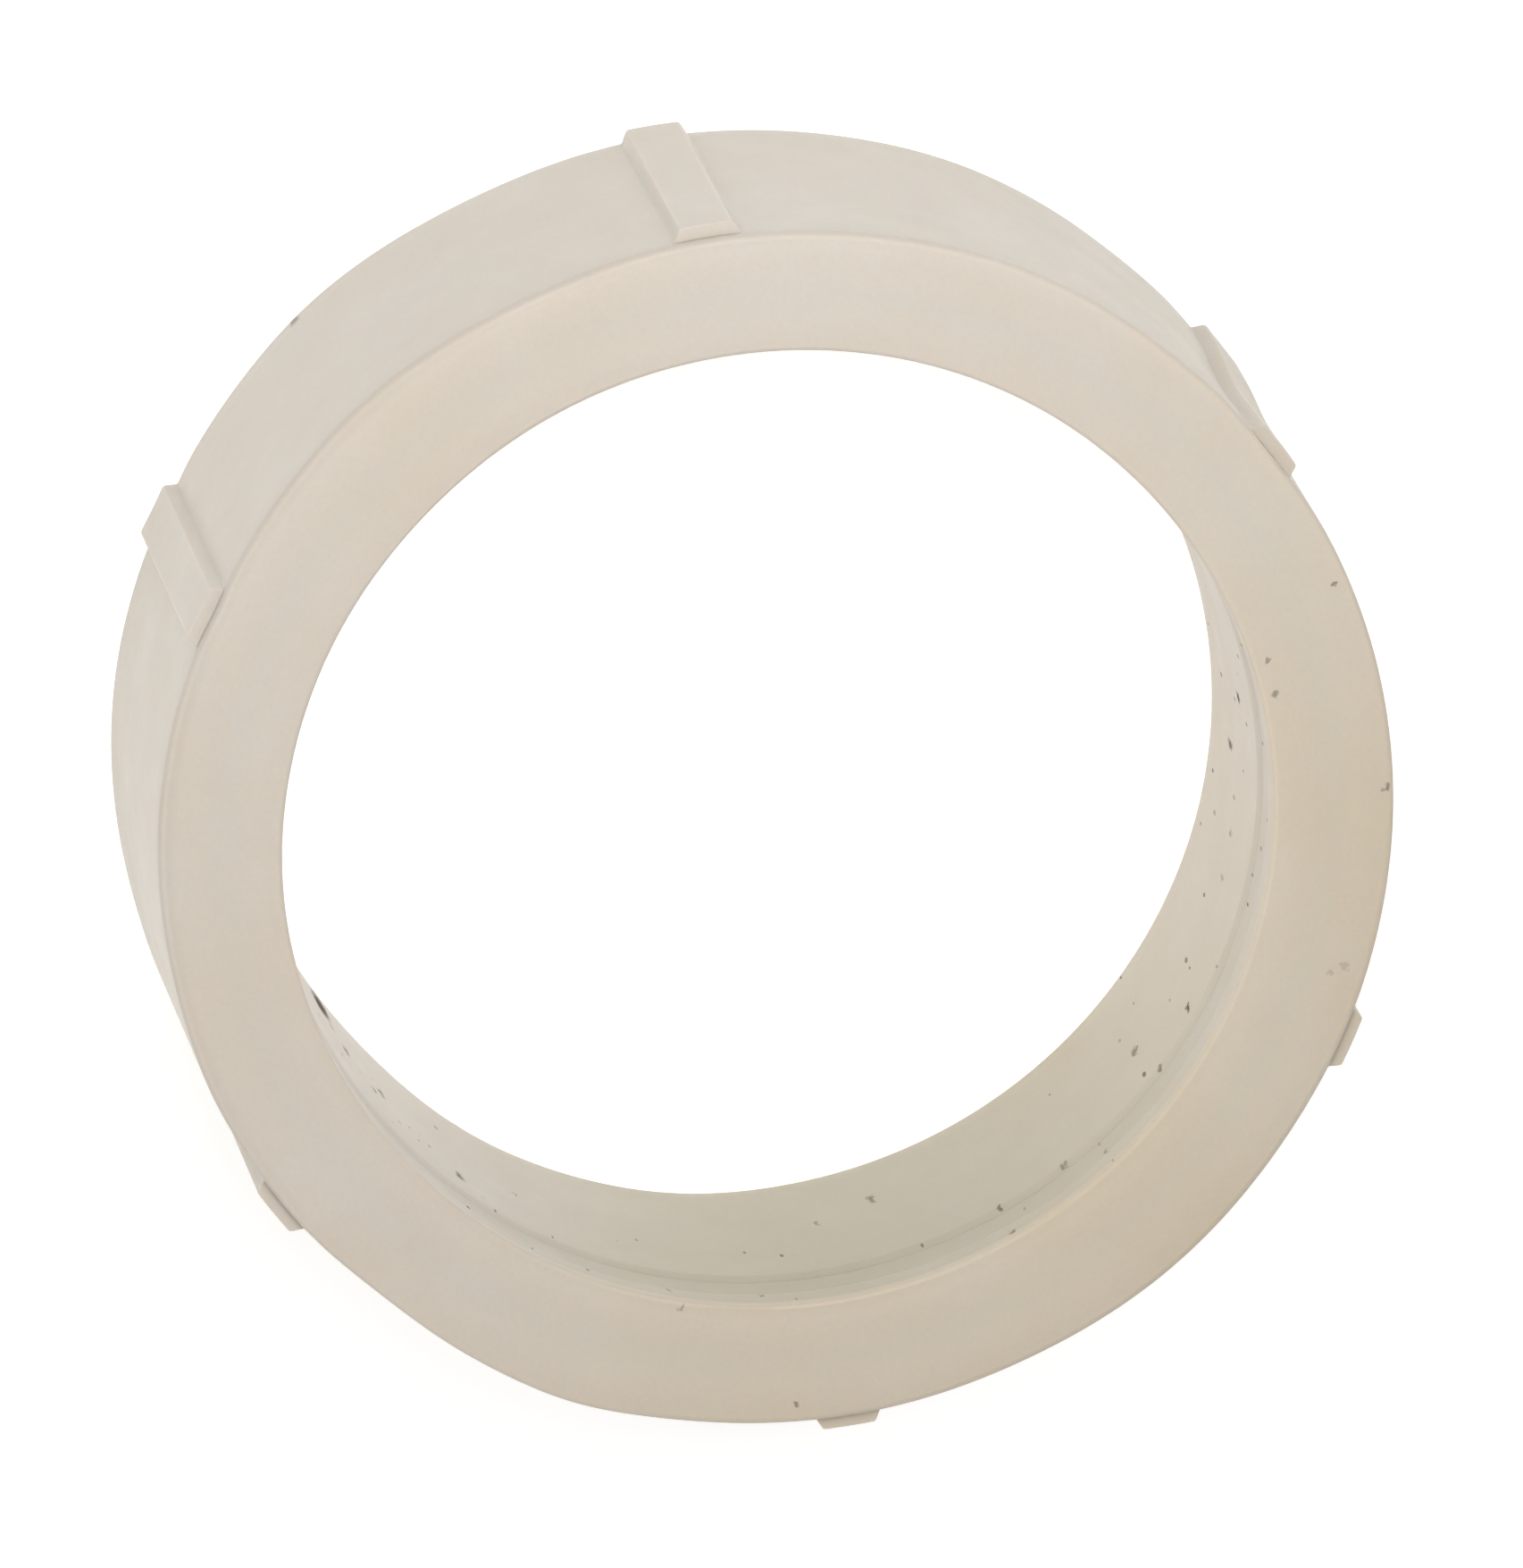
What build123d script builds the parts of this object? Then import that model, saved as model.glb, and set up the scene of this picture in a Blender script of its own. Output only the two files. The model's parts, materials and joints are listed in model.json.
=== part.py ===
"""Toilet flange seal ring: a ribbed soft ring with a plain bore, built up from six pieces.

The axis of the ring is Z.  The origin is the centre of the rear face, which is the face
that the ring rests on, and the front face looks along +Z.  All sizes are in millimetres.
"""
import os

from build123d import *

# Driving dimensions
BORE_D = 86.5             # clear bore, front to rear
BODY_D = 107.5            # outer wall, measured between the ribs
HEIGHT = 32.5             # rear face to front face
RIB_COUNT = 6
RIB_RISE = 1.15           # how far a rib stands out from the outer wall
RIB_ROOT_W = 5.6          # width of a rib where it leaves the wall
RIB_TIP_W = 4.7           # width of a rib at its crest
RIM_ROUND = 0.7           # round between the front face and the outer wall
MOUTH_ROUND = 0.5         # round between the front face and the bore
REAR_ROUND = 0.8          # round between the rear face and the outer wall
REAR_MOUTH_ROUND = 0.4    # round between the rear face and the bore

# How the section is divided between the pieces
FACE_T = 1.0              # thickness of the face ring's annulus, just over its rim round
LIP_DEPTH = 7.3           # how far the face ring's lip reaches down the bore
RELIEF_START = 2.8        # face to the shallow relief that runs down to the lip's end
RELIEF_DEPTH = 0.3        # how far the relief is set back from the bore
BORE_WALL = 2.2           # wall of the lip and of the bore sleeve
OUTER_WALL = 2.8          # wall of the outer sleeve
TONGUE_DEPTH = 2.5        # how far the face ring's tongue drops inside the outer sleeve
HOOP_T = 1.6              # thickness of the stiffener hoop, and of the tongue over it
REAR_T = 2.2              # thickness of the rear closing ring
RELIEF_BEVEL = 0.25       # bevel on both edges of the relief

# Radii and levels that follow from them
BORE_R = BORE_D / 2
BODY_R = BODY_D / 2
RIB_TIP_R = BODY_R + RIB_RISE
LINER_R = BORE_R + BORE_WALL
SLEEVE_R = BODY_R - OUTER_WALL
HOOP_R = SLEEVE_R - HOOP_T
FACE_Z = HEIGHT - FACE_T
SEAM_Z = HEIGHT - LIP_DEPTH
RELIEF_Z = HEIGHT - RELIEF_START
TONGUE_Z = FACE_Z - TONGUE_DEPTH


def ring(inner_r, outer_r, low, high):
    """A plain ring of rectangular section between two levels."""
    section = Pos((inner_r + outer_r) / 2, (low + high) / 2) * Rectangle(outer_r - inner_r, high - low)
    return revolve(Plane.XZ * section, Axis.Z)


def rib_section():
    """Cross-section of one rib, pointing along +X, with its root sunk a little into the wall."""
    sunk_r = BODY_R - OUTER_WALL / 2
    half_root = RIB_ROOT_W / 2
    half_tip = RIB_TIP_W / 2
    root_x = (BODY_R ** 2 - half_root ** 2) ** 0.5
    crest_x = (RIB_TIP_R ** 2 - half_tip ** 2) ** 0.5
    crest = ThreePointArc((crest_x, -half_tip), (RIB_TIP_R, 0), (crest_x, half_tip))
    sides = Polyline(
        (crest_x, half_tip),
        (root_x, half_root),
        (sunk_r, half_root),
        (sunk_r, -half_root),
        (root_x, -half_root),
        (crest_x, -half_tip),
    )
    return make_face([crest, sides])


def ribbed_outline():
    """Outline of the outer sleeve, seen along its axis: a disc with all its ribs."""
    outline = Circle(BODY_R)
    for step in range(RIB_COUNT):
        outline += Rot(0, 0, step * 360 / RIB_COUNT) * rib_section()
    return outline


def edges_at(solid, level, least_r, most_r):
    """The edges of a solid that lie at one level, with their centres between two radii."""
    found = []
    for edge in solid.edges():
        box = edge.bounding_box()
        point = edge @ 0.5
        radius = (point.X ** 2 + point.Y ** 2) ** 0.5
        flat = abs(box.min.Z - level) < 0.001 and abs(box.max.Z - level) < 0.001
        if flat and least_r < radius < most_r:
            found.append(edge)
    return found


def face_ring():
    """Front annulus with its rounded rim, its relieved lip down the bore and its tongue."""
    solid = ring(BORE_R, BODY_R, FACE_Z, HEIGHT)
    solid = fillet(edges_at(solid, HEIGHT, SLEEVE_R, BODY_R + 1), RIM_ROUND)
    solid += ring(BORE_R, LINER_R, RELIEF_Z, FACE_Z)
    solid += ring(BORE_R + RELIEF_DEPTH, LINER_R, SEAM_Z, RELIEF_Z)
    solid += ring(HOOP_R, SLEEVE_R, TONGUE_Z, FACE_Z)
    solid = fillet(edges_at(solid, HEIGHT, BORE_R - 1, LINER_R), MOUTH_ROUND)
    return chamfer(edges_at(solid, RELIEF_Z, BORE_R - 0.1, BORE_R + 0.1), RELIEF_BEVEL)


def outer_sleeve():
    """Outer wall with its six grip ribs, which stop at the face ring's rim."""
    solid = extrude(ribbed_outline(), amount=FACE_Z)
    solid = fillet(edges_at(solid, 0, SLEEVE_R, RIB_TIP_R + 1), REAR_ROUND)
    return solid - Pos(0, 0, FACE_Z / 2) * Cylinder(SLEEVE_R, FACE_Z)


def bore_sleeve():
    """Bore wall behind the lip, bevelled where the relief ends."""
    solid = ring(BORE_R, LINER_R, 0, SEAM_Z)
    solid = chamfer(edges_at(solid, SEAM_Z, BORE_R - 1, BORE_R + 1), RELIEF_BEVEL)
    return fillet(edges_at(solid, 0, BORE_R - 1, BORE_R + 1), REAR_MOUTH_ROUND)


def rear_ring():
    """Closing ring set flush into the rear, between the bore sleeve and the outer sleeve."""
    return ring(LINER_R, SLEEVE_R, 0, REAR_T)


def stiffener_hoop():
    """Rigid hoop that keeps the outer sleeve round, between the rear ring and the tongue."""
    return ring(HOOP_R, SLEEVE_R, REAR_T, TONGUE_Z)


def filler_ring():
    """Soft core that fills the space left between the bore wall and the hoop."""
    return ring(LINER_R, HOOP_R, REAR_T, FACE_Z)


PIECES = {
    "face_ring": face_ring,
    "outer_sleeve": outer_sleeve,
    "bore_sleeve": bore_sleeve,
    "rear_ring": rear_ring,
    "stiffener_hoop": stiffener_hoop,
    "filler_ring": filler_ring,
}

os.makedirs("parts", exist_ok=True)
for name, make in PIECES.items():
    piece = make()
    export_step(piece, f"parts/{name}.step")
    print(f"{name}: {piece.volume / 1000:.1f} cm3")
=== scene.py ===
"""Looks of the toilet flange seal ring: milky, slightly dirty moulded skin round the CAD frame."""

import json
import math

import bmesh
import bpy
import numpy as np
from mathutils import Matrix, Vector

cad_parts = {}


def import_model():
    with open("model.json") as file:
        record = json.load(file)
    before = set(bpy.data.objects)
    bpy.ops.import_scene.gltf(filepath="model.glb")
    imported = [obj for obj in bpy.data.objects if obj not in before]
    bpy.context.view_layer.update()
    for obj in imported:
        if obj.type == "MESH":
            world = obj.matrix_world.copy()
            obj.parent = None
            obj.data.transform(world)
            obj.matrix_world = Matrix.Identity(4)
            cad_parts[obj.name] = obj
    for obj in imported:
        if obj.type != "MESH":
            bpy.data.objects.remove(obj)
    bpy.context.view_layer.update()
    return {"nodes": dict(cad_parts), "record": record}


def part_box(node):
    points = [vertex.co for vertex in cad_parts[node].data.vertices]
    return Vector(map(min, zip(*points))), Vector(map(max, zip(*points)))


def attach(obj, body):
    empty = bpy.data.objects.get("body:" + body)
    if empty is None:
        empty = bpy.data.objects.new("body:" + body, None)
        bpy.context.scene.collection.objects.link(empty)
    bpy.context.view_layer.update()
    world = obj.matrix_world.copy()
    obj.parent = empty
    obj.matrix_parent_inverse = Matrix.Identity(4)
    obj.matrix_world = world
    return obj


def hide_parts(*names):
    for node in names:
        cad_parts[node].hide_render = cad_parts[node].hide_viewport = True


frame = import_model()

MM = 0.001
MOUNTS = {mount["name"]: mount for mount in frame["record"]["mounts"]}

# Sizes read from the frame, in metres
BORE_R = MOUNTS["bore"]["dims"]["r_mm"] * MM
BODY_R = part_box("outer_sleeve")[1].y
RIB_TIP_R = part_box("outer_sleeve")[1].x
SLEEVE_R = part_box("stiffener_hoop")[1].x
LINER_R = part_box("bore_sleeve")[1].x
HOOP_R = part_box("filler_ring")[1].x
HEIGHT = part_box("face_ring")[1].z
FACE_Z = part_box("outer_sleeve")[1].z
SEAM_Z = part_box("bore_sleeve")[1].z
TONGUE_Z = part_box("stiffener_hoop")[1].z
REAR_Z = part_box("rear_ring")[1].z

# Rounds and bevels of the moulded skin
RIM_ROUND = 0.7 * MM
MOUTH_ROUND = 0.5 * MM
REAR_ROUND = 0.8 * MM
REAR_MOUTH_ROUND = 0.4 * MM
REAR_SEAM_ROUND = 0.12 * MM
FINE_BEVEL = 0.06 * MM
FINE_ROUND = 0.05 * MM

# Shallow relief inside the bore, which starts below the front face
RELIEF_Z = HEIGHT - 2.8 * MM
RELIEF_DEPTH = 0.3 * MM
RELIEF_SLOPE = 1.2 * MM
RELIEF_EDGE_ROUND = 0.12 * MM
RELIEF_FLOOR_ROUND = 1.0 * MM
RELIEF_END_ROUND = 1.2 * MM

# Grip ribs
RIB_COUNT = 6
RIB_CREST_HALF = 2.15 * MM
RIB_FLANK = 0.85 * MM

# Fineness of the meshes: steps along arcs and straight runs, places of the extra meridians as
# shares of a rib's flank, least turn between meridians and angle of a sharp edge, in degrees
ARC_STEP = 0.35 * MM
ARC_LEAST_STEPS = 3
LONGEST_RUN = 2.6 * MM
FLANK_SHARES = np.linspace(-0.25, 1.25, 9)
LEAST_TURN = 0.05
SHARP_ANGLE = 32

# Out-of-round of the soft skin: azimuth and half width in degrees, size in millimetres
WALL_WAVES = [
    (13, 7, -0.20), (32, 9, 0.16), (0, 6, -0.34),
    (77, 11, -0.32), (96, 8, 0.16), (119, 3, -0.22),
    (138, 16, 0.28), (167, 6, 0.18),
    (193, 8, -0.42), (214, 7, 0.36),
    (256, 8, -0.10), (273, 9, 0.10), (290, 8, -0.08),
    (322, 8, 0.02), (348, 8, -0.05),
    (60, 60, 0.10), (245, 62, 0.30),
]
FRONT_BORE_WAVES = [
    (25, 20, 0.08), (100, 14, -0.10), (98, 40, -0.32), (150, 16, 0.12), (250, 60, -0.20),
]
REAR_BORE_WAVES = [(185, 14, -0.50), (228, 12, 0.20), (345, 10, 0.10)]

# Flattened place on the outer wall: azimuth and half width in degrees, then height, half height
# and size in millimetres
WALL_DENTS = [(1, 6, 19, 7.5, -0.48)]

# Radii between which the waves of the wall, and those of the bore, grow to their full size
WALL_WAVES_FROM = SLEEVE_R + 0.4 * MM
WALL_WAVES_TO = BODY_R - RIM_ROUND
BORE_WAVES_FROM = LINER_R - 0.2 * MM
BORE_WAVES_TO = BORE_R + 0.5 * MM

# Colour of the clean skin, and the tones that multiply it in places, most of them painted shade
SKIN = (0.590, 0.538, 0.474)
CLOUD_TONE = (0.985, 0.965, 0.93)
# Painted shade: the upright outer wall darker than the face of the same skin
OUTER_WALL_PAINTED_SHADE = (0.825, 0.825, 0.818)
# Painted shade: the bore wall darker and a little cooler than the face of the same skin
BORE_PAINTED_SHADE = (0.925, 0.935, 0.970)
# Painted warm shade, standing in for warm bounce light, on the side of the ring at this azimuth
WARM_SHADE_AZIMUTH = 288
WARM_PAINTED_SHADE = (0.985, 0.965, 0.90)
# Painted shade on the low side of the bore, darker and warmer
LOW_SHADE_AZIMUTH = 238
LOW_SHADE_POWER = 2
BORE_LOW_PAINTED_SHADE = (0.82, 0.83, 0.755)
# Painted shade over the highlight on the mouth's edge, on the bore's low side
MOUTH_PAINTED_SHADE = (0.95, 0.945, 0.93)
# Painted shade over the rim's highlight, on the side at this azimuth
RIM_SHADE_AZIMUTH = 115
RIM_PAINTED_SHADE = (0.925, 0.93, 0.94)
# Painted shade in the shallow relief inside the bore
RELIEF_PAINTED_SHADE = (0.955, 0.955, 0.95)
GRAIN_TONE = (0.985, 1.015)

# Spans over which those places fade: radii, heights, distances from an edge, and the normal's rise
BORE_FADE = (BORE_R + 0.6 * MM, BORE_R + 1.0 * MM)
BORE_TOP_FADE = (HEIGHT - 1.2 * MM, HEIGHT - 0.1 * MM)
OUTSIDE_FADE = (SLEEVE_R + MM, BODY_R - MM)
UPRIGHT_FADE = (0.3, 0.9)
RELIEF_SHADE_TOP_FADE = (RELIEF_Z - 0.8 * MM, RELIEF_Z + 0.4 * MM)
RELIEF_SHADE_FOOT_FADE = (SEAM_Z - 0.9 * MM, SEAM_Z + 0.6 * MM)
MOUTH_FADE = (0.3 * MM, 1.2 * MM)
RIM_FADE = (0.5 * MM, 1.3 * MM)

# Light inside the skin: its depth, how far red, green and blue go as shares of it, and the reach
# and the share to which it gets shallower near the open seams and the mouth's edge, which are
# circles of a radius at a height
SKIN_DEPTH = 3.0 * MM
WALL_DEPTH = 0.7 * MM
COLOUR_REACH = (1.0, 0.82, 0.62)
SEAM_REACH = 5 * MM
SEAM_SHARE = 0.1
SEAMS = [(BODY_R, FACE_Z), (BORE_R, SEAM_Z), (BORE_R, HEIGHT), (LINER_R, 0), (SLEEVE_R, 0)]

# Noise patterns: features per metre, detail and roughness
CLOUDS = (45, 3, 0.55)
GRAIN = (2300, 2, 0.6)
GLOSS = (160, 3, 0.6)
RIPPLES = (70, 1, 0.5)
FINE_RIPPLES = (1500, 2, 0.6)
CROWDS = (40, 1, 0.5)
RAGGED = (1600, 2, 0.5)
FOAM_CELLS = (900, 4, 0.6)

# Middle spans of the noises' values, which are stretched to full strength, and the mean colour
MIDDLE = (0.3, 0.7)
CLOUD_MIDDLE = (0.35, 0.65)
CROWD_MIDDLE = (0.40, 0.62)
NOISE_MEAN = (0.5, 0.5, 0.5)

# Surface of the skin: roughness, how much dirt adds to it, index of refraction, and ripples
SKIN_ROUGHNESS = (0.42, 0.54)
DIRT_ROUGHNESS = 0.4
SKIN_IOR = 1.43
RIPPLE_STRENGTH = 0.15
RIPPLE_DISTANCE = 0.6 * MM
FINE_STRENGTH = 0.06
FINE_DISTANCE = 0.1 * MM

# Dirt: its colour, how far a spot spreads over its listed size, its dark core, its ragged edge,
# and how much it is squeezed in height before it is drawn, so that it ends up taller than wide
GRIME = (0.045, 0.035, 0.020)
SPOT_SPREAD = 1.3
SPOT_CORE = 0.45
RAGGED_SHIFT = 1.3 * MM
SMEAR = 0.4
SPOT_MARGIN = 0.1 * MM

# Fine specks: cells per metre, share of the cells that hold one, half size in cells, and strength
SPECK_CELLS = 330
SPECK_SHARE = (0.05, 0.45)
SPECK_HALF = (0.035, 0.075)
SPECK_STRENGTH = (0.3, 0.8)

# Dirt spots picked up in use: azimuth in degrees, then radius, height and half size in
# millimetres, and strength
SPOTS = [
    (176, 43.2, 4.0, 1.15, 1.0), (177, 43.2, 8.5, 0.35, 0.6), (179, 43.2, 11.5, 0.50, 0.7),
    (183, 43.2, 15.0, 0.30, 0.4), (185, 43.2, 13.0, 0.42, 0.9), (196, 43.2, 19.5, 0.48, 0.7),
    (191, 43.2, 14.5, 0.26, 0.4), (187, 43.2, 17.6, 0.20, 0.6), (189, 43.2, 16.0, 0.22, 0.7),
    (190, 43.2, 18.2, 0.18, 0.6), (192, 43.2, 16.6, 0.16, 0.5), (184, 43.2, 10.4, 0.22, 0.7),
    (181, 43.2, 13.6, 0.20, 0.6), (199, 43.2, 21.5, 0.20, 0.5), (205, 43.2, 14.2, 0.18, 0.5),
    (211, 43.2, 29.8, 0.24, 0.5), (221, 43.2, 29.5, 0.26, 0.6),
    (232, 43.2, 29.5, 0.26, 0.6), (249, 43.2, 9.5, 0.38, 0.6), (242, 43.2, 12.0, 0.24, 0.5),
    (262, 43.2, 24.3, 0.28, 0.7), (262, 43.3, 31.4, 0.26, 0.6), (271, 43.2, 24.3, 0.30, 0.5),
    (276, 43.2, 28.2, 0.28, 0.5), (285, 43.2, 16.5, 0.32, 0.6), (287, 43.2, 24.5, 0.25, 0.6),
    (294, 43.2, 22.0, 0.34, 0.9), (308, 43.2, 15.5, 0.28, 0.4), (313, 43.2, 14.7, 0.28, 0.5),
    (322, 43.2, 10.2, 0.45, 0.8), (330, 43.2, 15.7, 0.36, 1.0),
    (235, 52.2, 32.5, 0.30, 0.6), (307, 51.6, 32.5, 0.36, 0.22), (306, 50.6, 32.5, 0.28, 0.25),
    (337, 44.5, 32.5, 0.40, 0.5), (341, 44.7, 32.5, 0.22, 0.5), (325, 53.1, 32.3, 0.32, 0.6),
    (346, 52.3, 32.5, 0.26, 0.6), (222, 43.8, 32.4, 0.26, 0.4),
    (98, 53.8, 1.2, 0.45, 0.5), (4, 53.8, 3.4, 0.32, 0.5),
]

# Hidden pieces
HOOP_COLOUR = (0.72, 0.70, 0.66)
FOAM_COLOUR = (0.70, 0.64, 0.54)
CELL_TONE = 0.86
MOULDING_ROUGHNESS = 0.75

# Floor: its tone and glow, and the gap that keeps it clear of the ring's rear face
FLOOR_SIZE = 6
FLOOR_TONE = (0.88, 0.88, 0.88, 1)
FLOOR_ROUGHNESS = 0.9
FLOOR_GLOW_COLOUR = (1, 1, 1, 1)
FLOOR_GLOW = 0.41
FLOOR_GAP = 0.1 * MM

# Surrounding light, by colour and strength, towards one azimuth and away from it
COOL = (0.99, 1.0, 1.01)
WARM = (1.0, 0.98, 0.95)
WORLD_AZIMUTH = 65
WORLD_NEAR = (COOL, 0.65)
WORLD_FAR = (WARM, 0.40)

# Soft boxes: azimuth, elevation, distance, size, power and colour
MIDDLE_OF_RING = (0, 0, HEIGHT / 2)
SOFT_BOXES = {
    "overhead": (55, 62, 0.28, 0.20, 0.51, COOL),
    "left": (165, 30, 0.70, 0.40, 1.35, (0.99, 0.995, 1.0)),
    "right": (321, 40, 0.70, 0.40, 0.27, WARM),
}

# Camera, in degrees and metres, with its lens and sensor in millimetres
CAMERA_AZIMUTH = 79.1
CAMERA_ELEVATION = 70.4
CAMERA_ROLL = 152.99
CAMERA_DISTANCE = 2.2906
CAMERA_LENS = 605.7
CAMERA_SENSOR = 36
CAMERA_CLIP = (0.1, 20)
CAMERA_TARGET = (0.00024, -0.00117, HEIGHT / 2)


# ---------------------------------------------------------------- shape of the moulded skin

def smooth(t):
    """Smooth step from 0 at t <= 0 to 1 at t >= 1."""
    t = np.clip(t, 0, 1)
    return t * t * (3 - 2 * t)


def bump_at(angle, centre, half_width):
    """Soft hump of height 1 round one azimuth, all in degrees."""
    away = (angle - centre + 180) % 360 - 180
    return np.exp(-(away / half_width) ** 2)


def waves(angle, table):
    """Sum of the humps of one table, in metres."""
    return sum(size * bump_at(angle, centre, half) for centre, half, size in table) * MM


def rib_rise(angle):
    """How far the ribbed outline stands out from the wall at an azimuth in degrees."""
    pitch = 360 / RIB_COUNT
    away = np.radians(np.abs((angle + pitch / 2) % pitch - pitch / 2)) * BODY_R
    return (RIB_TIP_R - BODY_R) * smooth((RIB_CREST_HALF + RIB_FLANK - away) / RIB_FLANK)


def skin(radius, level, angle, ribbed):
    """Radius of a point of the skin after ribs and softness, for arrays in metres and degrees."""
    outer = smooth((radius - WALL_WAVES_FROM) / (WALL_WAVES_TO - WALL_WAVES_FROM))
    inner = smooth((BORE_WAVES_FROM - radius) / (BORE_WAVES_FROM - BORE_WAVES_TO))
    forward = level / HEIGHT
    bore = forward * waves(angle, FRONT_BORE_WAVES) + (1 - forward) * waves(angle, REAR_BORE_WAVES)
    wall = waves(angle, WALL_WAVES)
    if ribbed:
        wall = wall + rib_rise(angle)
    for azimuth, half_width, middle, half_height, size in WALL_DENTS:
        fading = np.exp(-((level / MM - middle) / half_height) ** 2)
        wall = wall + fading * waves(angle, [(azimuth, half_width, size)])
    return radius + outer * wall + inner * bore


def azimuths():
    """Azimuths of the mesh's meridians: one a degree, and close together on the rib flanks."""
    found = set(range(360))
    for rib in range(RIB_COUNT):
        for side in (-1, 1):
            for share in FLANK_SHARES:
                away = math.degrees((RIB_CREST_HALF + share * RIB_FLANK) / BODY_R)
                found.add(round((rib * 360 / RIB_COUNT + side * away) % 360, 4))
    ordered = sorted(found)
    kept = ordered[:1]
    for azimuth in ordered[1:]:
        if azimuth - kept[-1] > LEAST_TURN:
            kept.append(azimuth)
    return np.array(kept)


def rounded(corners):
    """Closed profile from (r, z, corner radius) corners, with arcs at the rounded corners."""
    count = len(corners)
    outline = []
    for i in range(count):
        before, here, after = (Vector(corners[(i + k) % count][:2]) for k in (-1, 0, 1))
        radius = corners[i][2]
        if radius == 0:
            outline.append(here)
            continue
        into = (before - here).normalized()
        out = (after - here).normalized()
        half = into.angle(out) / 2
        reach = radius / math.tan(half)
        centre = here + (into + out).normalized() * (radius / math.sin(half))
        start = here + into * reach - centre
        end = here + out * reach - centre
        steps = max(ARC_LEAST_STEPS, round(start.angle(end) * radius / ARC_STEP))
        for k in range(steps + 1):
            arm = start * (1 - k / steps) + end * (k / steps)
            outline.append(centre + arm.normalized() * radius)
    return outline


def with_runs(outline):
    """The outline with its long straight runs divided."""
    found = []
    for i, here in enumerate(outline):
        after = outline[(i + 1) % len(outline)]
        parts = max(1, math.ceil((after - here).length / LONGEST_RUN))
        found += [here.lerp(after, k / parts) for k in range(parts)]
    return found


def ring_quads(turns, along):
    """Quads of a closed ring, from the number of its meridians and of the points on each."""
    quads = []
    for i in range(turns):
        n = (i + 1) % turns
        for j in range(along):
            m = (j + 1) % along
            quads.append((i * along + j, n * along + j, n * along + m, i * along + m))
    return quads


def ring_object(name, corners, ribbed=False):
    """A closed ring swept round the axis from rounded (r, z) corners, shaped by skin()."""
    profile = np.array([point[:] for point in with_runs(rounded(corners))])
    angles = azimuths()
    angle = np.repeat(angles, len(profile))
    level = np.tile(profile[:, 1], len(angles))
    radius = skin(np.tile(profile[:, 0], len(angles)), level, angle, ribbed)
    turn = np.radians(angle)
    points = np.stack([radius * np.cos(turn), radius * np.sin(turn), level], 1)
    mesh = bpy.data.meshes.new(name)
    mesh.from_pydata(points.tolist(), [], ring_quads(len(angles), len(profile)))
    build = bmesh.new()
    build.from_mesh(mesh)
    bmesh.ops.recalc_face_normals(build, faces=build.faces)
    for edge in build.edges:
        edge.smooth = edge.calc_face_angle(0) < math.radians(SHARP_ANGLE)
    for face in build.faces:
        face.smooth = True
    build.to_mesh(mesh)
    build.free()
    obj = bpy.data.objects.new(name, mesh)
    bpy.context.scene.collection.objects.link(obj)
    return obj


# ---------------------------------------------------------------- pieces

def face_ring():
    """Front annulus with its rounded rim, its lip down the bore and its tongue in the sleeve."""
    return ring_object("face_ring_skin", [
        (BORE_R, RELIEF_Z, RELIEF_EDGE_ROUND),
        (BORE_R + RELIEF_DEPTH, RELIEF_Z - RELIEF_SLOPE, RELIEF_FLOOR_ROUND),
        (BORE_R + RELIEF_DEPTH, SEAM_Z, 0),
        (LINER_R, SEAM_Z, 0),
        (LINER_R, FACE_Z, 0),
        (HOOP_R, FACE_Z, 0),
        (HOOP_R, TONGUE_Z, 0),
        (SLEEVE_R, TONGUE_Z, 0),
        (SLEEVE_R, FACE_Z, 0),
        (BODY_R - FINE_BEVEL, FACE_Z, 0),
        (BODY_R, FACE_Z + FINE_BEVEL, FINE_ROUND),
        (BODY_R, HEIGHT, RIM_ROUND),
        (BORE_R, HEIGHT, MOUTH_ROUND),
    ])


def outer_sleeve():
    """Outer wall with its grip ribs."""
    return ring_object("outer_sleeve_skin", [
        (SLEEVE_R, 0, 0),
        (BODY_R, 0, REAR_ROUND),
        (BODY_R, FACE_Z - FINE_BEVEL, FINE_ROUND),
        (BODY_R - FINE_BEVEL, FACE_Z, 0),
        (SLEEVE_R, FACE_Z, 0),
    ], ribbed=True)


def bore_sleeve():
    """Bore wall behind the seam, with the slope that ends the relief."""
    return ring_object("bore_sleeve_skin", [
        (BORE_R, 0, REAR_MOUTH_ROUND),
        (LINER_R, 0, 0),
        (LINER_R, SEAM_Z, 0),
        (BORE_R + RELIEF_DEPTH, SEAM_Z, 0),
        (BORE_R, SEAM_Z - RELIEF_SLOPE, RELIEF_END_ROUND),
    ])


def rear_ring():
    """Closing ring, flush in the rear end."""
    return ring_object("rear_ring_skin", [
        (LINER_R, 0, REAR_SEAM_ROUND),
        (SLEEVE_R, 0, REAR_SEAM_ROUND),
        (SLEEVE_R, REAR_Z, 0),
        (LINER_R, REAR_Z, 0),
    ])


# ---------------------------------------------------------------- nodes

def new_material(name):
    """A material with an empty node tree, its Principled shader and its output."""
    material = bpy.data.materials.new(name)
    material.use_nodes = True
    tree = material.node_tree
    tree.nodes.clear()
    shader = tree.nodes.new("ShaderNodeBsdfPrincipled")
    output = tree.nodes.new("ShaderNodeOutputMaterial")
    tree.links.new(shader.outputs["BSDF"], output.inputs["Surface"])
    return material, tree, shader


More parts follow.
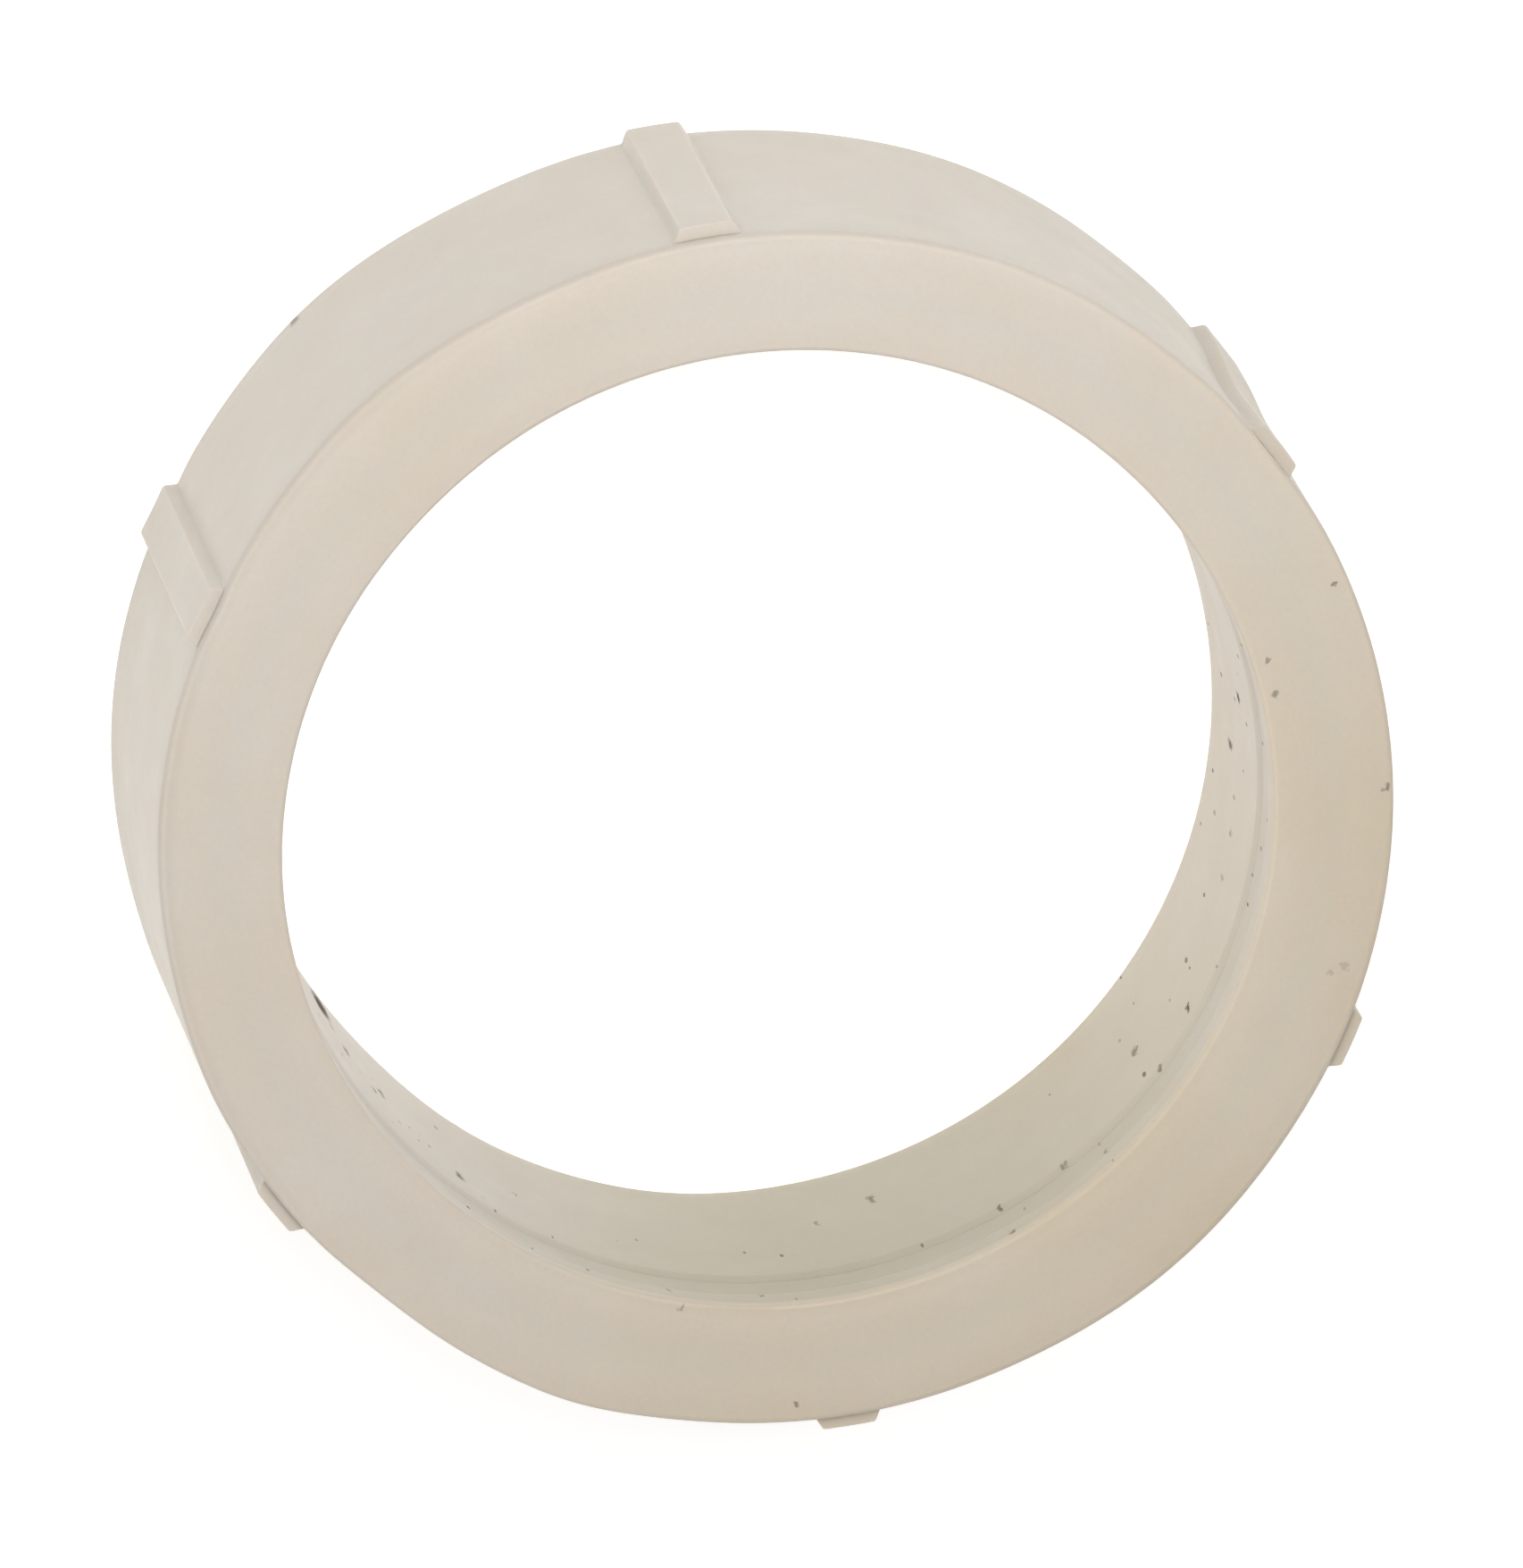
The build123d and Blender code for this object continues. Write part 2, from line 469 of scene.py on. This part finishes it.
def node(tree, kind, inputs, **settings):
    """A node with its properties set, and with its inputs linked to sockets or given values."""
    made = tree.nodes.new(kind)
    for key, value in settings.items():
        setattr(made, key, value)
    for key, value in inputs.items():
        if isinstance(value, bpy.types.NodeSocket):
            tree.links.new(value, made.inputs[key])
        else:
            made.inputs[key].default_value = value
    return made


def maths(tree, operation, first, second=0.0):
    """One Math node."""
    return node(tree, "ShaderNodeMath", {0: first, 1: second}, operation=operation).outputs[0]


def times(tree, first, second):
    """Product of two values or sockets."""
    return maths(tree, "MULTIPLY", first, second)


def vector_maths(tree, operation, *values):
    """One Vector Math node, of which the caller takes the output that it needs."""
    return node(tree, "ShaderNodeVectorMath", dict(enumerate(values)), operation=operation)


def separate(tree, vector):
    """The three parts of a vector."""
    return node(tree, "ShaderNodeSeparateXYZ", {0: vector}).outputs


def remap(tree, value, span, start, end):
    """Linear remap of a span of values to start and end, clamped."""
    made = node(tree, "ShaderNodeMapRange", {
        "Value": value, "From Min": span[0], "From Max": span[1], "To Min": start, "To Max": end})
    return made.outputs["Result"]


def noise(tree, where, pattern):
    """Noise node of one of the patterns."""
    scale, detail, rough = pattern
    return node(tree, "ShaderNodeTexNoise", {
        "Vector": where, "Scale": scale, "Detail": detail, "Roughness": rough})


def mottle(tree, where, pattern, middle, start=0.0, end=1.0):
    """Noise whose middle span of values is stretched to run from start to end."""
    return remap(tree, noise(tree, where, pattern).outputs["Fac"], middle, start, end)


def mix(tree, share, first, second, blend="MIX"):
    """Colour mix of two colours or sockets."""
    made = node(tree, "ShaderNodeMix", {0: share}, data_type="RGBA", blend_type=blend)
    for key, value in ((6, first), (7, second)):
        if isinstance(value, bpy.types.NodeSocket):
            tree.links.new(value, made.inputs[key])
        else:
            made.inputs[key].default_value = (*value, 1)
    return made.outputs[2]


def tinted(tree, body, share, tone):
    """The body colour multiplied by a tone, as far as the share says."""
    return mix(tree, share, body, tone, "MULTIPLY")


# ---------------------------------------------------------------- places on the ring

def towards_side(tree, where, azimuth):
    """1 on the side of the ring at one azimuth, falling to 0 a quarter turn away."""
    turn = math.radians(azimuth)
    side = vector_maths(tree, "DOT_PRODUCT", where, (math.cos(turn), math.sin(turn), 0))
    return remap(tree, side.outputs["Value"], (0, BORE_R), 0, 1)


def radius_and_height(tree, where):
    """Distance from the ring's axis, and height over the rear face."""
    flat = vector_maths(tree, "MULTIPLY", where, (1, 1, 0)).outputs[0]
    return vector_maths(tree, "LENGTH", flat).outputs["Value"], separate(tree, where)["Z"]


def on_bore(tree, where):
    """1 on the bore wall and 0 elsewhere."""
    radius, height = radius_and_height(tree, where)
    wall = remap(tree, radius, BORE_FADE, 1, 0)
    below = remap(tree, height, BORE_TOP_FADE, 1, 0)
    return times(tree, wall, below)


def on_outer_wall(tree, where):
    """1 on the upright outer wall and its ribs, 0 on the faces and the ends of the ribs."""
    radius = radius_and_height(tree, where)[0]
    outside = remap(tree, radius, OUTSIDE_FADE, 0, 1)
    normal = node(tree, "ShaderNodeNewGeometry", {}).outputs["Normal"]
    rise = maths(tree, "ABSOLUTE", separate(tree, normal)["Z"])
    return times(tree, outside, remap(tree, rise, UPRIGHT_FADE, 1, 0))


def in_relief(tree, where):
    """1 in the relief inside the bore, where shade is painted, and 0 elsewhere."""
    height = radius_and_height(tree, where)[1]
    under = remap(tree, height, RELIEF_SHADE_TOP_FADE, 1, 0)
    over = remap(tree, height, RELIEF_SHADE_FOOT_FADE, 0, 1)
    return times(tree, on_bore(tree, where), times(tree, under, over))


def circle_distance(tree, where, circle_r, circle_z):
    """How far a point is from a circle round the axis."""
    radius, height = radius_and_height(tree, where)
    across = maths(tree, "SUBTRACT", radius, circle_r)
    along = maths(tree, "SUBTRACT", height, circle_z)
    squares = (times(tree, across, across), times(tree, along, along))
    return maths(tree, "SQRT", maths(tree, "ADD", *squares))


def seam_distance(tree, where):
    """How far a point is from the nearest of the seams."""
    nearest = circle_distance(tree, where, *SEAMS[0])
    for seam in SEAMS[1:]:
        nearest = maths(tree, "MINIMUM", nearest, circle_distance(tree, where, *seam))
    return nearest


# ---------------------------------------------------------------- dirt

def spots_within(inner_r, outer_r, low, high):
    """The spots that lie on one piece, in metres: centre, half size and strength."""
    found = []
    for azimuth, radius, height, half, strength in SPOTS:
        in_wall = inner_r - MM < radius * MM < outer_r + MM
        if in_wall and low - SPOT_MARGIN <= height * MM <= high + SPOT_MARGIN:
            turn = math.radians(azimuth)
            centre = (radius * MM * math.cos(turn), radius * MM * math.sin(turn), height * MM)
            found.append((centre, half * MM, strength))
    return found


def specks(tree, where):
    """Fine scattered specks, only on the bore wall and thicker in some places than in others."""
    place = separate(tree, where)
    turn = maths(tree, "ARCTAN2", place["Y"], place["X"])
    unrolled = node(tree, "ShaderNodeCombineXYZ", {
        0: times(tree, turn, BORE_R), 1: times(tree, place["Z"], SMEAR)})
    cells = node(tree, "ShaderNodeTexVoronoi", {
        "Vector": unrolled.outputs[0], "Scale": SPECK_CELLS}, voronoi_dimensions="2D")
    luck = node(tree, "ShaderNodeSeparateColor", {0: cells.outputs["Color"]}).outputs
    crowd = mottle(tree, where, CROWDS, CROWD_MIDDLE, *SPECK_SHARE)
    chosen = maths(tree, "LESS_THAN", luck[0], crowd)
    half = remap(tree, luck[1], (0, 1), *SPECK_HALF)
    dot = maths(tree, "LESS_THAN", cells.outputs["Distance"], half)
    dark = times(tree, times(tree, chosen, dot), on_bore(tree, where))
    return times(tree, dark, remap(tree, luck[2], (0, 1), *SPECK_STRENGTH))


def dirt(tree, where, spots):
    """How dirty the skin is, from 0 to 1: ragged spots and fine specks."""
    total = specks(tree, where)
    ragged = noise(tree, where, RAGGED).outputs["Color"]
    shift = vector_maths(tree, "SUBTRACT", ragged, NOISE_MEAN).outputs[0]
    bent = vector_maths(tree, "MULTIPLY_ADD", shift, (RAGGED_SHIFT,) * 3, where).outputs[0]
    for centre, half, strength in spots:
        apart = vector_maths(tree, "SUBTRACT", bent, centre).outputs[0]
        squeezed = vector_maths(tree, "MULTIPLY", apart, (1, 1, SMEAR)).outputs[0]
        away = vector_maths(tree, "LENGTH", squeezed).outputs["Value"]
        edge = half * SPOT_SPREAD
        mark = remap(tree, away, (SPOT_CORE * edge, edge), strength, 0)
        total = maths(tree, "MAXIMUM", total, mark)
    return total


# ---------------------------------------------------------------- materials

def clean_colour(tree, where):
    """Colour of the skin under the dirt: mottled, with painted shade on the outer wall, the bore,
    one side, the bore's low side, the rim, the mouth and the relief, and grained.
    """
    clouded = tuple(part * tone for part, tone in zip(SKIN, CLOUD_TONE))
    body = mix(tree, mottle(tree, where, CLOUDS, CLOUD_MIDDLE), SKIN, clouded)
    # Painted shade on the outer wall
    body = tinted(tree, body, on_outer_wall(tree, where), OUTER_WALL_PAINTED_SHADE)
    # Painted shade on the bore wall
    body = tinted(tree, body, on_bore(tree, where), BORE_PAINTED_SHADE)
    # Painted warm shade on one side
    body = tinted(tree, body, towards_side(tree, where, WARM_SHADE_AZIMUTH), WARM_PAINTED_SHADE)
    # Painted shade on the bore's low side
    low_side = towards_side(tree, where, LOW_SHADE_AZIMUTH)
    low_shade = times(tree, on_bore(tree, where), maths(tree, "POWER", low_side, LOW_SHADE_POWER))
    body = tinted(tree, body, low_shade, BORE_LOW_PAINTED_SHADE)
    # Painted shade over the rim's highlight on one side
    rim = remap(tree, circle_distance(tree, where, BODY_R, HEIGHT), RIM_FADE, 1, 0)
    rim_shade = times(tree, rim, towards_side(tree, where, RIM_SHADE_AZIMUTH))
    body = tinted(tree, body, rim_shade, RIM_PAINTED_SHADE)
    # Painted shade over the mouth edge's highlight on the low side
    mouth = remap(tree, circle_distance(tree, where, BORE_R, HEIGHT), MOUTH_FADE, 1, 0)
    body = tinted(tree, body, times(tree, mouth, low_side), MOUTH_PAINTED_SHADE)
    # Painted shade in the relief inside the bore
    body = tinted(tree, body, in_relief(tree, where), RELIEF_PAINTED_SHADE)
    grain = mottle(tree, where, GRAIN, MIDDLE, *GRAIN_TONE)
    grey = node(tree, "ShaderNodeCombineColor", {0: grain, 1: grain, 2: grain}).outputs[0]
    return tinted(tree, body, 1.0, grey)


def rippled(tree, where):
    """Normal of the skin, with soft ripples and finer ones over them."""
    soft = node(tree, "ShaderNodeBump", {
        "Strength": RIPPLE_STRENGTH, "Distance": RIPPLE_DISTANCE,
        "Height": noise(tree, where, RIPPLES).outputs["Fac"]})
    fine = node(tree, "ShaderNodeBump", {
        "Strength": FINE_STRENGTH, "Distance": FINE_DISTANCE,
        "Height": noise(tree, where, FINE_RIPPLES).outputs["Fac"], "Normal": soft.outputs[0]})
    return fine.outputs[0]


def milky(name, depth, spots):
    """Milky moulded skin: satin sheen, soft light inside it down to a depth, painted shade and
    dirt.
    """
    material, tree, shader = new_material(name)
    where = node(tree, "ShaderNodeTexCoord", {}).outputs["Object"]
    grime = dirt(tree, where, spots)
    colour = mix(tree, grime, clean_colour(tree, where), GRIME)
    tree.links.new(colour, shader.inputs["Base Color"])
    gloss = mottle(tree, where, GLOSS, MIDDLE, *SKIN_ROUGHNESS)
    dulled = maths(tree, "ADD", gloss, times(tree, grime, DIRT_ROUGHNESS))
    tree.links.new(dulled, shader.inputs["Roughness"])
    tree.links.new(rippled(tree, where), shader.inputs["Normal"])
    seam = seam_distance(tree, where)
    scale = remap(tree, seam, (0, SEAM_REACH), depth * SEAM_SHARE, depth)
    tree.links.new(scale, shader.inputs["Subsurface Scale"])
    shader.inputs["Subsurface Weight"].default_value = 1.0
    shader.inputs["Subsurface Radius"].default_value = COLOUR_REACH
    shader.inputs["IOR"].default_value = SKIN_IOR
    return material


def plain_moulding(name, colour):
    """Hidden pieces: dull moulded plastic or foam with a fine grain."""
    material, tree, shader = new_material(name)
    where = node(tree, "ShaderNodeTexCoord", {}).outputs["Object"]
    darker = tuple(part * CELL_TONE for part in colour)
    cells = mottle(tree, where, FOAM_CELLS, MIDDLE)
    tree.links.new(mix(tree, cells, darker, colour), shader.inputs["Base Color"])
    shader.inputs["Roughness"].default_value = MOULDING_ROUGHNESS
    return material


# ---------------------------------------------------------------- stage, light and camera

def aim(obj, target, roll=0.0):
    """Turns an object's -Z towards a point, then rolls it about that line, in degrees."""
    to_target = Vector(target) - obj.location
    turn = to_target.to_track_quat("-Z", "Y").to_matrix()
    obj.rotation_euler = (turn @ Matrix.Rotation(math.radians(roll), 3, "Z")).to_euler()


def spherical(azimuth, elevation, distance, origin):
    """Point at an azimuth from +X and an elevation, seen from an origin."""
    a, e = math.radians(azimuth), math.radians(elevation)
    arm = Vector((math.cos(a) * math.cos(e), math.sin(a) * math.cos(e), math.sin(e)))
    return Vector(origin) + arm * distance


def floor():
    """Plain pale floor under the ring, open from below so that the ring's rear can be seen."""
    bpy.ops.mesh.primitive_plane_add(size=FLOOR_SIZE, location=(0, 0, -FLOOR_GAP))
    plane = bpy.context.object
    plane.name = "floor"
    material, tree, shader = new_material("floor_white")
    shader.inputs["Base Color"].default_value = FLOOR_TONE
    shader.inputs["Roughness"].default_value = FLOOR_ROUGHNESS
    shader.inputs["Emission Color"].default_value = FLOOR_GLOW_COLOUR
    shader.inputs["Emission Strength"].default_value = FLOOR_GLOW
    clear = node(tree, "ShaderNodeBsdfTransparent", {})
    underside = node(tree, "ShaderNodeNewGeometry", {}).outputs["Backfacing"]
    either = node(tree, "ShaderNodeMixShader", {
        0: underside, 1: shader.outputs["BSDF"], 2: clear.outputs["BSDF"]})
    tree.links.new(either.outputs[0], tree.nodes["Material Output"].inputs["Surface"])
    plane.data.materials.append(material)


def soft_box(name, azimuth, elevation, distance, size, power, colour):
    """Square soft light aimed at the ring."""
    lamp = bpy.data.lights.new(name, "AREA")
    lamp.shape = "SQUARE"
    lamp.size = size
    lamp.energy = power
    lamp.color = colour
    obj = bpy.data.objects.new(name, lamp)
    bpy.context.scene.collection.objects.link(obj)
    obj.location = spherical(azimuth, elevation, distance, MIDDLE_OF_RING)
    obj.visible_camera = False
    aim(obj, MIDDLE_OF_RING)


def world(azimuth, near, far):
    """Surrounding light that runs from near, towards one azimuth, to far, away from it."""
    made = bpy.data.worlds.new("studio")
    made.use_nodes = True
    tree = made.node_tree
    background = tree.nodes["Background"]
    turn = math.radians(azimuth)
    where = node(tree, "ShaderNodeTexCoord", {}).outputs["Generated"]
    side = vector_maths(tree, "DOT_PRODUCT", where, (math.cos(turn), math.sin(turn), 0))
    share = remap(tree, side.outputs["Value"], (-1, 1), 0, 1)
    tree.links.new(mix(tree, share, far[0], near[0]), background.inputs["Color"])
    tree.links.new(remap(tree, share, (0, 1), far[1], near[1]), background.inputs["Strength"])
    bpy.context.scene.world = made


def camera():
    """Long lens from above the ring's front face, rolled as a hand-held view."""
    data = bpy.data.cameras.new("camera")
    data.lens = CAMERA_LENS
    data.sensor_width = CAMERA_SENSOR
    data.clip_start, data.clip_end = CAMERA_CLIP
    obj = bpy.data.objects.new("camera", data)
    bpy.context.scene.collection.objects.link(obj)
    obj.location = spherical(CAMERA_AZIMUTH, CAMERA_ELEVATION, CAMERA_DISTANCE, CAMERA_TARGET)
    aim(obj, CAMERA_TARGET, CAMERA_ROLL)
    bpy.context.scene.camera = obj


# ---------------------------------------------------------------- build

FACE_SKIN = milky("milky_face", SKIN_DEPTH, spots_within(BORE_R, BODY_R, SEAM_Z, HEIGHT))
WALL_SKIN = milky("milky_sleeve", WALL_DEPTH, spots_within(SLEEVE_R, BODY_R, 0, FACE_Z))
BORE_SKIN = milky("milky_bore", SKIN_DEPTH, spots_within(BORE_R, LINER_R, 0, SEAM_Z))
REAR_SKIN = milky("milky_rear", SKIN_DEPTH, [])
HOOP = plain_moulding("hoop_plastic", HOOP_COLOUR)
FOAM = plain_moulding("filler_foam", FOAM_COLOUR)

PIECES = {
    "face_ring": (face_ring, FACE_SKIN, "face_skin"),
    "outer_sleeve": (outer_sleeve, WALL_SKIN, "sleeve_skin"),
    "bore_sleeve": (bore_sleeve, BORE_SKIN, "bore_skin"),
    "rear_ring": (rear_ring, REAR_SKIN, "rear_skin"),
}
for cad_node, (make, material, slot) in PIECES.items():
    piece = make()
    piece.data.materials.append(material)
    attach(piece, "root")
    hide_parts(cad_node)
    # The sleeve's ribs would draw shadows on the wall that the even light of the picture lacks
    piece.visible_shadow = cad_node != "outer_sleeve"

for cad_node, material in (("stiffener_hoop", HOOP), ("filler_ring", FOAM)):
    obj = frame["nodes"][cad_node]
    obj.data.materials.clear()
    obj.data.materials.append(material)

floor()
world(WORLD_AZIMUTH, WORLD_NEAR, WORLD_FAR)
for name, settings in SOFT_BOXES.items():
    soft_box(name, *settings)
camera()
bpy.context.scene.view_settings.view_transform = "Standard"
